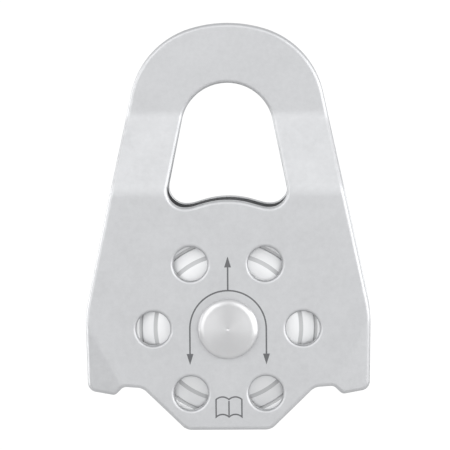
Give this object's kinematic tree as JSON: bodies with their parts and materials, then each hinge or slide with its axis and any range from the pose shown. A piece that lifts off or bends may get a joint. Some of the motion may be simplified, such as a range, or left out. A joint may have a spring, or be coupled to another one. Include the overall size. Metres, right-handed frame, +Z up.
{
  "type": "rope pulley",
  "caption": "Rescue rope pulley with two joggled stainless side plates that swing about a ball-bearing sheave, meeting in one carabiner eye.",
  "frame": {"origin": "centre of the sheave, on the axle's axis, midway between the two side plates", "axes": "+Z up to the carabiner eye, +Y along the axle towards the rear plate, +X to the right as seen from the front plate's side"},
  "size_m": [0.0828, 0.0294, 0.118],
  "materials": {
    "stainless_plate": "tumbled satin stainless steel",
    "turned_steel": "fine turned stainless steel",
    "sheave_alloy": "turned satin aluminium",
    "bearing_steel": "ground and polished",
    "plain_bronze": "machined bronze",
    "spring_steel": "blackened spring steel",
    "seal_rubber": "matt nitrile rubber"
  },
  "bodies": {
    "rear_cheek": {"rear_plate": "stainless_plate", "rear_plate_bush": "plain_bronze"},
    "front_cheek": {"front_plate": "stainless_plate", "front_plate_bush": "plain_bronze"},
    "axle": {"axle_pin": "turned_steel", "axle_cap": "turned_steel", "front_thrust_washer": "plain_bronze", "rear_thrust_washer": "plain_bronze", "bearing_spacer": "turned_steel", "front_bearing_inner_race": "bearing_steel", "rear_bearing_inner_race": "bearing_steel"},
    "rope_wheel": {"sheave": "sheave_alloy", "front_circlip": "spring_steel", "rear_circlip": "spring_steel", "front_dust_seal": "seal_rubber", "rear_dust_seal": "seal_rubber", "front_bearing_outer_race": "bearing_steel", "rear_bearing_outer_race": "bearing_steel", "front_bearing_outboard_shield": "turned_steel", "front_bearing_inboard_shield": "turned_steel", "rear_bearing_outboard_shield": "turned_steel", "rear_bearing_inboard_shield": "turned_steel"},
    "front_ball_ring": {"front_bearing_cage": "plain_bronze", "front_bearing_balls": "bearing_steel"},
    "rear_ball_ring": {"rear_bearing_cage": "plain_bronze", "rear_bearing_balls": "bearing_steel"}
  },
  "joints": [
    {"name": "front_cheek_swing", "type": "hinge", "parent": "rear_cheek", "child": "front_cheek", "pos_m": [0, 0, 0], "axis": [0, 1, 0], "continuous": true},
    {"name": "axle_turn", "type": "hinge", "parent": "rear_cheek", "child": "axle", "pos_m": [0, 0, 0], "axis": [0, 1, 0], "continuous": true},
    {"name": "sheave_spin", "type": "hinge", "parent": "axle", "child": "rope_wheel", "pos_m": [0, 0, 0], "axis": [0, 1, 0], "continuous": true},
    {"name": "front_balls_roll", "type": "hinge", "parent": "axle", "child": "front_ball_ring", "pos_m": [0, -0.0036, 0], "axis": [0, 1, 0], "continuous": true},
    {"name": "rear_balls_roll", "type": "hinge", "parent": "axle", "child": "rear_ball_ring", "pos_m": [0, 0.0036, 0], "axis": [0, 1, 0], "continuous": true}
  ],
  "couplings": [
    {"joint": "front_balls_roll", "follows": "sheave_spin", "ratio": 0.5944},
    {"joint": "rear_balls_roll", "follows": "sheave_spin", "ratio": 0.5944}
  ]
}
